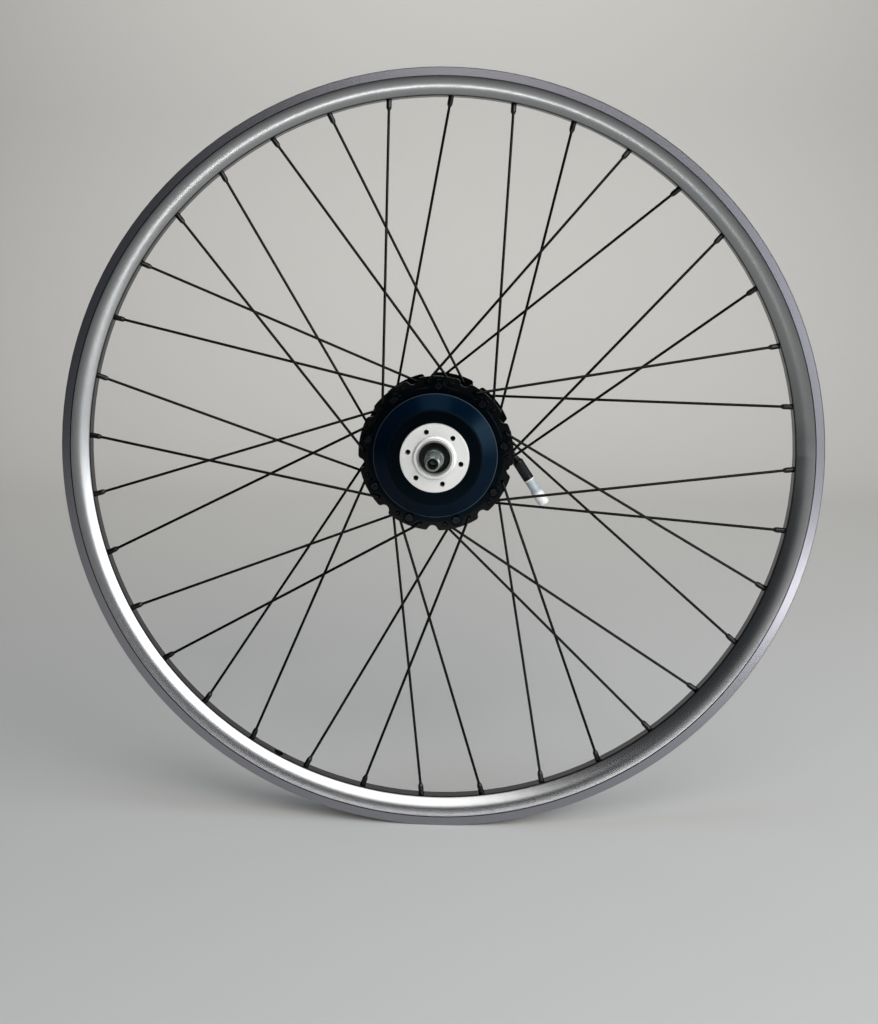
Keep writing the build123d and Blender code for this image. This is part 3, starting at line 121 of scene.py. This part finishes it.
# ---------------------------------------------------------------- node helpers
class Nodes:
    """A small builder for one material's node tree."""

    def __init__(self, name):
        self.mat = bpy.data.materials.new(name)
        self.mat.use_nodes = True
        self.tree = self.mat.node_tree
        self.tree.nodes.clear()
        out = self.tree.nodes.new("ShaderNodeOutputMaterial")
        self.bsdf = self.tree.nodes.new("ShaderNodeBsdfPrincipled")
        self.link(self.bsdf.outputs[0], out.inputs[0])
        self.coords = self.tree.nodes.new("ShaderNodeTexCoord").outputs["Object"]

    def set(self, **values):
        """Uniform values on the shader's own inputs."""
        names = {
            "color": "Base Color", "metal": "Metallic", "rough": "Roughness", "ior": "IOR",
            "coat": "Coat Weight", "coat_rough": "Coat Roughness", "specular": "Specular IOR Level",
            "transmission": "Transmission Weight", "subsurface": "Subsurface Weight",
            "subsurface_scale": "Subsurface Scale", "specular_tint": "Specular Tint",
        }
        for key, value in values.items():
            if isinstance(value, tuple):
                value = (*value, 1.0)
            self.bsdf.inputs[names[key]].default_value = value
        return self

    def link(self, a, b):
        self.tree.links.new(a, b)

    def math(self, op, a, b=None):
        node = self.tree.nodes.new("ShaderNodeMath")
        node.operation = op
        self.put(a, node.inputs[0])
        if b is not None:
            self.put(b, node.inputs[1])
        return node.outputs[0]

    def place(self):
        """The x, y and z of the object coordinates."""
        split = self.tree.nodes.new("ShaderNodeSeparateXYZ")
        self.link(self.coords, split.inputs[0])
        return split.outputs

    def polar(self, radial, along, turn):
        """Coordinates round the axle: radius, distance along it, and angle, each times its own scale."""
        x, y, z = self.place()
        angle = self.math("ARCTAN2", z, x)
        join = self.tree.nodes.new("ShaderNodeCombineXYZ")
        self.link(self.math("MULTIPLY", self.radius(), radial), join.inputs[0])
        self.link(self.math("MULTIPLY", y, along), join.inputs[1])
        self.link(self.math("MULTIPLY", angle, turn), join.inputs[2])
        return join.outputs[0]

    def radius(self):
        """Distance from the axle's line."""
        x, _, z = self.place()
        return self.math("SQRT", self.math("ADD", self.math("MULTIPLY", x, x), self.math("MULTIPLY", z, z)))

    def along(self, start, direction):
        """Distance past a point, measured along a direction."""
        node = self.tree.nodes.new("ShaderNodeVectorMath")
        node.operation = "DOT_PRODUCT"
        self.link(self.coords, node.inputs[0])
        node.inputs[1].default_value = direction
        return self.math("SUBTRACT", node.outputs["Value"], start.dot(direction))

    def fade(self, value, start, end):
        """0 before start, 1 after end, and smooth between; start may be the larger one."""
        node = self.tree.nodes.new("ShaderNodeMapRange")
        node.interpolation_type = "SMOOTHSTEP"
        node.inputs["From Min"].default_value = start
        node.inputs["From Max"].default_value = end
        self.link(value, node.inputs["Value"])
        return node.outputs[0]

    def band(self, value, rise, fall):
        """1 between two edges and 0 outside; each edge is a fade's start and end."""
        return self.math("MULTIPLY", self.fade(value, *rise), self.fade(value, *fall))

    def noise(self, scale, detail=4.0, roughness=0.55, vector=None):
        node = self.tree.nodes.new("ShaderNodeTexNoise")
        node.inputs["Scale"].default_value = scale
        node.inputs["Detail"].default_value = detail
        node.inputs["Roughness"].default_value = roughness
        self.link(vector or self.coords, node.inputs["Vector"])
        return node.outputs["Fac"]

    def ramp(self, value, stops):
        """Colours by value, from (value, colour) stops."""
        node = self.tree.nodes.new("ShaderNodeValToRGB")
        ramp = node.color_ramp
        while len(ramp.elements) < len(stops):
            ramp.elements.new(0.5)
        for element, (place, color) in zip(ramp.elements, stops):
            element.position = place
            element.color = (*color, 1.0)
        self.link(value, node.inputs[0])
        return node.outputs[0]

    def spread(self, value, low, high):
        """A value of 0 to 1 stretched to low to high."""
        node = self.tree.nodes.new("ShaderNodeMapRange")
        node.inputs["To Min"].default_value = low
        node.inputs["To Max"].default_value = high
        self.link(value, node.inputs["Value"])
        return node.outputs[0]

    def blend(self, factor, a, b, mode="MIX"):
        node = self.tree.nodes.new("ShaderNodeMix")
        node.data_type = "RGBA"
        node.blend_type = mode
        colour_a = [s for s in node.inputs if s.name == "A" and s.type == "RGBA"][0]
        colour_b = [s for s in node.inputs if s.name == "B" and s.type == "RGBA"][0]
        self.put(factor, node.inputs[0])
        self.put(a, colour_a)
        self.put(b, colour_b)
        return [s for s in node.outputs if s.type == "RGBA"][0]

    def put(self, value, socket):
        """A number or a colour is set on the socket, and another node's output is linked to it."""
        if isinstance(value, (int, float)):
            socket.default_value = value
        elif isinstance(value, tuple):
            socket.default_value = (*value, 1.0)
        else:
            self.link(value, socket)

    def color(self, socket):
        self.link(socket, self.bsdf.inputs["Base Color"])

    def rough(self, socket):
        self.link(socket, self.bsdf.inputs["Roughness"])

    def bump(self, height, strength, distance):
        node = self.tree.nodes.new("ShaderNodeBump")
        node.inputs["Strength"].default_value = strength
        node.inputs["Distance"].default_value = distance
        self.link(height, node.inputs["Height"])
        self.link(node.outputs[0], self.bsdf.inputs["Normal"])


def grained_metal(name, color, rough, spread=0.06, radial=2600.0, along=2600.0, turn=6.0, strength=0.12):
    """Metal turned or drawn round the axle: fine lines follow the circle."""
    m = Nodes(name).set(metal=1.0)
    lines = m.noise(1.0, 3.0, 0.6, m.polar(radial, along, turn))
    patches = m.noise(38.0, 3.0)
    dark = tuple(c * 0.86 for c in color)
    m.color(m.blend(patches, dark, color))
    m.rough(m.spread(lines, rough - spread, rough + spread))
    m.bump(lines, strength, 0.00003)
    return m.mat


def cast_metal(name, color, rough, scale=900.0, strength=0.25):
    """Cast, plated or ground metal with an even grain."""
    m = Nodes(name).set(metal=1.0)
    grain = m.noise(scale, 5.0, 0.6)
    patches = m.noise(60.0, 2.0)
    m.color(m.blend(patches, tuple(c * 0.84 for c in color), color))
    m.rough(m.spread(grain, rough - 0.07, rough + 0.07))
    m.bump(grain, strength, 0.00006)
    return m.mat


def black_coat(name, color, rough, scale=1500.0, strength=0.1, specular=0.5, tint=(1.0, 1.0, 1.0)):
    """Black paint or coating over metal, with a fine orange-peel grain."""
    m = Nodes(name).set(metal=0.0, specular=specular, specular_tint=tint)
    grain = m.noise(scale, 4.0, 0.55)
    patches = m.noise(45.0, 4.0)
    worn = m.ramp(patches, [(0.35, (0, 0, 0)), (0.75, (1, 1, 1))])
    m.color(m.blend(worn, color, tuple(c * 1.8 for c in color)))
    m.rough(m.spread(patches, rough - 0.05, rough + 0.07))
    m.bump(grain, strength, 0.00005)
    return m.mat


def moulded(name, color, rough, scale=1800.0, strength=0.12, **more):
    """Moulded plastic or rubber with a fine grain."""
    m = Nodes(name).set(metal=0.0, **more)
    grain = m.noise(scale, 4.0, 0.6)
    patches = m.noise(70.0, 3.0)
    m.color(m.blend(patches, tuple(c * 0.85 for c in color), color))
    m.rough(m.spread(grain, rough - 0.06, rough + 0.06))
    m.bump(grain, strength, 0.00004)
    return m.mat


# ---------------------------------------------------------------- materials
# Edges of what is painted, each as a fade's start and end. On the rim and the cover they are distances from
# the axle's line, and on the cap the distance past the joint of cap and plug.
# Rim: painted shade darkens the spoke bed's edge and the groove between the body and the brake band.
BED_SHADE = (0.2961, 0.2950)
BRAKE_BAND = (0.3086, 0.3092)
GROOVE_SHADE = ((0.30905, 0.30925), (0.31005, 0.30985))
COVER_INNER_EDGE = ((0.0376, 0.0380), (0.0398, 0.0388))
# On the cover, the cone's edges bound a painted navy reflection, and the shoulder's edges a painted
# highlight line.
COVER_CONE_REFLECTION = ((0.0385, 0.0400), (0.0515, 0.0500))
COVER_SHOULDER_HIGHLIGHT = ((0.0504, 0.0507), (0.0513, 0.0511))
# On the cap, these edges bound painted shade: the dark nose seen through the cap.
CAP_NOSE_SHADE = ((0.0008, 0.0016), (0.0165, 0.0125))


def rim_alloy():
    """Satin extrusion with drawn lines: neutral sides, a slightly lilac brake band, and painted shade along
    the spoke bed and in the groove.
    """
    m = Nodes("rim_alloy").set(metal=1.0)
    drawn = m.noise(1.0, 3.0, 0.6, m.polar(1500.0, 1500.0, 10.0))
    broad = m.noise(1.0, 2.0, 0.5, m.polar(60.0, 60.0, 3.0))
    speck = m.noise(420.0, 5.0, 0.7)
    body = m.blend(broad, (0.295, 0.297, 0.300), (0.320, 0.322, 0.325))
    band = m.blend(broad, (0.285, 0.280, 0.310), (0.310, 0.304, 0.335))
    dust = m.ramp(speck, [(0.0, (1, 1, 1)), (0.64, (1, 1, 1)), (0.78, (0.86, 0.85, 0.84))])
    r = m.radius()
    # Painted shade: the spoke bed's edge and the groove turn dark grey.
    painted_shade = m.math("MAXIMUM", m.fade(r, *BED_SHADE), m.band(r, *GROOVE_SHADE))
    unshaded = m.blend(m.fade(r, *BRAKE_BAND), body, band)
    m.color(m.blend(painted_shade, m.blend(1.0, unshaded, dust, "MULTIPLY"), (0.04, 0.038, 0.042)))
    m.rough(m.spread(drawn, 0.235, 0.265))
    m.bump(drawn, 0.004, 0.00003)
    return m.mat


def cover_coat():
    """Black gloss on the cover's flat face and rim, a painted navy reflection on its cone, and a painted
    highlight line at the shoulder.
    """
    m = Nodes("cover_black").set(metal=0.0, specular=0.105, specular_tint=(0.30, 0.68, 1.0))
    r = m.radius()
    grain = m.noise(1300.0, 4.0, 0.55)
    patches = m.noise(45.0, 4.0)
    # Painted reflection: the cone is coloured navy where its gloss would show the sky.
    navy_reflection = m.blend(patches, (0.0002, 0.0026, 0.0072), (0.0004, 0.0034, 0.0088))
    painted = m.blend(m.band(r, *COVER_CONE_REFLECTION), (0.0002, 0.0002, 0.0003), navy_reflection)
    # Painted highlight: a thin lighter line runs round the shoulder.
    m.color(m.blend(m.band(r, *COVER_SHOULDER_HIGHLIGHT), painted, (0.024, 0.033, 0.042)))
    matt_edge = m.math("MULTIPLY", m.band(r, *COVER_INNER_EDGE), 0.45)
    m.rough(m.math("ADD", m.spread(patches, 0.22, 0.3), matt_edge))
    m.bump(grain, 0.04, 0.00005)
    return m.mat


def winding_copper():
    """Enamelled wire: turns wound round each tooth show as fine ribs."""
    m = Nodes("winding_copper").set(metal=1.0)
    ribs = m.noise(1.0, 2.0, 0.4, m.polar(3200.0, 200.0, 120.0))
    m.color(m.blend(ribs, (0.36, 0.13, 0.05), (0.72, 0.33, 0.14)))
    m.rough(m.spread(ribs, 0.22, 0.36))
    m.bump(ribs, 0.5, 0.0002)
    return m.mat


def lamination_steel():
    """Stacked sheet: fine lines across the stack's length."""
    m = Nodes("lamination_steel").set(metal=1.0)
    sheets = m.noise(1.0, 2.0, 0.5, m.polar(30.0, 2000.0, 2.0))
    m.color(m.blend(sheets, (0.20, 0.21, 0.23), (0.34, 0.35, 0.37)))
    m.rough(m.spread(sheets, 0.38, 0.52))
    m.bump(sheets, 0.4, 0.0001)
    return m.mat


def board_green():
    """Circuit board under clear lacquer."""
    m = Nodes("board_green").set(metal=0.0, coat=0.4, coat_rough=0.2)
    tracks = m.noise(260.0, 2.0, 0.3)
    stops = [(0.44, (0.012, 0.10, 0.035)), (0.5, (0.02, 0.18, 0.06)), (0.62, (0.015, 0.13, 0.045))]
    m.color(m.ramp(tracks, stops))
    m.rough(m.spread(tracks, 0.3, 0.45))
    m.bump(tracks, 0.2, 0.00005)
    return m.mat


def cap_clear():
    """Soft translucent cap: grey-blue painted shade where it sleeves the plug's nose, standing for the dark
    nose seen through it, and milky white at its lip and end.
    """
    m = Nodes("cap_clear").set(metal=0.0, transmission=0.3, ior=1.42, coat=0.1, coat_rough=0.3)
    haze = m.noise(240.0, 3.0)
    white = m.blend(haze, (0.80, 0.795, 0.79), (0.87, 0.865, 0.86))
    # Painted shade: grey-blue where the plug's dark nose lies behind the cap.
    nose_shade = m.blend(haze, (0.34, 0.40, 0.43), (0.48, 0.54, 0.57))
    depth = m.along(PLUG_JOINT, PLUG_AXIS)
    m.color(m.blend(m.band(depth, *CAP_NOSE_SHADE), white, nose_shade))
    m.rough(m.spread(haze, 0.28, 0.42))
    m.bump(haze, 0.1, 0.0001)
    return m.mat


MATERIALS = {
    "rim_alloy": rim_alloy(),
    "nipple_black": black_coat("nipple_black", (0.0010, 0.0010, 0.0010), 0.26, specular=0.3),
    "spoke_black": black_coat("spoke_black", (0.0008, 0.0008, 0.0008), 0.26, specular=0.12),
    "hub_black": black_coat("hub_black", (0.0006, 0.0007, 0.0009), 0.24, 1300.0, 0.05, specular=0.11),
    "cover_black": cover_coat(),
    "gasket_paper": moulded("gasket_paper", (0.02, 0.02, 0.02), 0.8),
    "screw_black": grained_metal("screw_black", (0.016, 0.016, 0.018), 0.28, turn=20.0),
    "mount_alloy": grained_metal("mount_alloy", (0.70, 0.695, 0.675), 0.5, 0.08, 3000.0, 3000.0, 3.0, 0.2),
    "zinc_steel": cast_metal("zinc_steel", (0.62, 0.62, 0.61), 0.3),
    "seal_rubber": moulded("seal_rubber", (0.003, 0.003, 0.003), 0.6, specular=0.25),
    "gear_steel": grained_metal("gear_steel", (0.46, 0.46, 0.47), 0.28),
    "carrier_alloy": cast_metal("carrier_alloy", (0.62, 0.62, 0.63), 0.38),
    "bearing_steel": grained_metal("bearing_steel", (0.66, 0.67, 0.69), 0.14, 0.03, strength=0.04),
    "bell_steel": grained_metal("bell_steel", (0.36, 0.36, 0.38), 0.3),
    "magnet_nickel": cast_metal("magnet_nickel", (0.62, 0.6, 0.56), 0.2, 500.0, 0.08),
    "lamination_steel": lamination_steel(),
    "winding_copper": winding_copper(),
    "board_green": board_green(),
    "axle_steel": grained_metal("axle_steel", (0.30, 0.335, 0.31), 0.3, 0.08, 2400.0, 2400.0, 4.0, 0.25),
    "spacer_steel": grained_metal("spacer_steel", (0.20, 0.225, 0.215), 0.36, 0.08),
    "cable_black": moulded("cable_black", (0.003, 0.003, 0.0035), 0.4, 900.0, 0.2, specular=0.3),
    "lead_yellow": moulded("lead_yellow", (0.62, 0.46, 0.04), 0.4),
    "grommet_rubber": moulded("grommet_rubber", (0.011, 0.011, 0.012), 0.55, 700.0, 0.2),
    "plug_black": moulded("plug_black", (0.0008, 0.0014, 0.0022), 0.32, 1400.0, 0.15, specular=0.14),
    "insert_black": moulded("insert_black", (0.03, 0.04, 0.045), 0.45),
    "pin_brass": cast_metal("pin_brass", (0.80, 0.62, 0.27), 0.2),
    "cap_clear": cap_clear(),
    "planet_nylon": moulded(
        "planet_nylon", (0.74, 0.72, 0.64), 0.42, subsurface=0.15, subsurface_scale=0.002
    ),
    "bush_bronze": cast_metal("bush_bronze", (0.56, 0.38, 0.2), 0.36),
}

slots = {entry["node"]: entry["material_slot"] for entry in frame["record"]["subparts"]}
for name, obj in frame["nodes"].items():
    chosen = MATERIALS[slots[name]]
    if not obj.material_slots:
        obj.data.materials.append(chosen)
    for place in obj.material_slots:
        place.material = chosen
cable.data.materials.append(MATERIALS["cable_black"])


# ---------------------------------------------------------------- floor and backdrop
FLOOR_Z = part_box("rim")[0][2]
FLOOR_FRONT, FLOOR_BACK = -5.0, 2.6
FLOOR_HALF_WIDTH = 5.0
SWEEP_R = 1.0  # radius of the curve up into the backdrop
SWEEP_STEPS = 16
BACKDROP_RISE = 3.4


def sweep_floor():
    """A pale floor that curves up into a backdrop behind the wheel."""
    curve_y = FLOOR_BACK - SWEEP_R
    profile = [(FLOOR_FRONT, FLOOR_Z), (curve_y, FLOOR_Z)]
    for i in range(1, SWEEP_STEPS + 1):
        a = math.radians(90.0 * i / SWEEP_STEPS)
        profile.append((curve_y + SWEEP_R * math.sin(a), FLOOR_Z + SWEEP_R * (1 - math.cos(a))))
    profile.append((FLOOR_BACK, FLOOR_Z + BACKDROP_RISE))
    verts = [(x, y, z) for y, z in profile for x in (-FLOOR_HALF_WIDTH, FLOOR_HALF_WIDTH)]
    faces = [(2 * i, 2 * i + 1, 2 * i + 3, 2 * i + 2) for i in range(len(profile) - 1)]
    mesh = bpy.data.meshes.new("floor")
    mesh.from_pydata(verts, [], faces)
    for face in mesh.polygons:
        face.use_smooth = True
    obj = bpy.data.objects.new("floor", mesh)
    scene.collection.objects.link(obj)
    return obj


floor = sweep_floor()
floor_look = Nodes("floor_plain").set(metal=0.0, rough=0.8, specular=0.25, color=(0.52, 0.515, 0.50))
floor.data.materials.append(floor_look.mat)


# ---------------------------------------------------------------- light
def area(name, place, target, size, watts, color, spread):
    """A rectangular light at a place, turned to a target: width and height in metres, spread in degrees."""
    data = bpy.data.lights.new(name, "AREA")
    data.shape = "RECTANGLE"
    data.size, data.size_y = size
    data.energy = watts
    data.color = color
    data.spread = math.radians(spread)
    obj = bpy.data.objects.new(name, data)
    obj.location = place
    obj.rotation_mode = "QUATERNION"
    obj.rotation_quaternion = (Vector(target) - Vector(place)).to_track_quat("-Z", "Y")
    scene.collection.objects.link(obj)


area("window", (1.75, -1.35, 0.62), (0.0, -0.05, 0.0), (2.6, 1.7), 42.0, (0.95, 0.98, 1.0), 130.0)
area("softbox", (0.40, -1.90, 1.56), (0.0, 0.0, 0.0), (2.0, 1.55), 21.5, (1.0, 0.99, 0.97), 130.0)
area("low_strip", (0.32, -0.75, -0.30), (0.32, 0.0, 0.30), (0.95, 0.06), 0.75, (1.0, 1.0, 1.0), 110.0)
area("sky_panel", (-0.05, -0.30, 1.75), (-0.02, -0.05, 0.0), (1.1, 0.8), 2.4, (0.60, 0.80, 1.0), 130.0)
area("backdrop_light", (0.0, 1.2, 2.6), (0.0, 2.7, 0.4), (3.2, 0.5), 27.0, (1.0, 0.97, 0.92), 120.0)

AMBIENT_COLOR = (0.72, 0.80, 0.95, 1.0)
AMBIENT_STRENGTH = 0.06

world = bpy.data.worlds.new("studio")
world.use_nodes = True
background = world.node_tree.nodes["Background"]
background.inputs["Color"].default_value = AMBIENT_COLOR
background.inputs["Strength"].default_value = AMBIENT_STRENGTH
scene.world = world

bpy.context.view_layer.update()
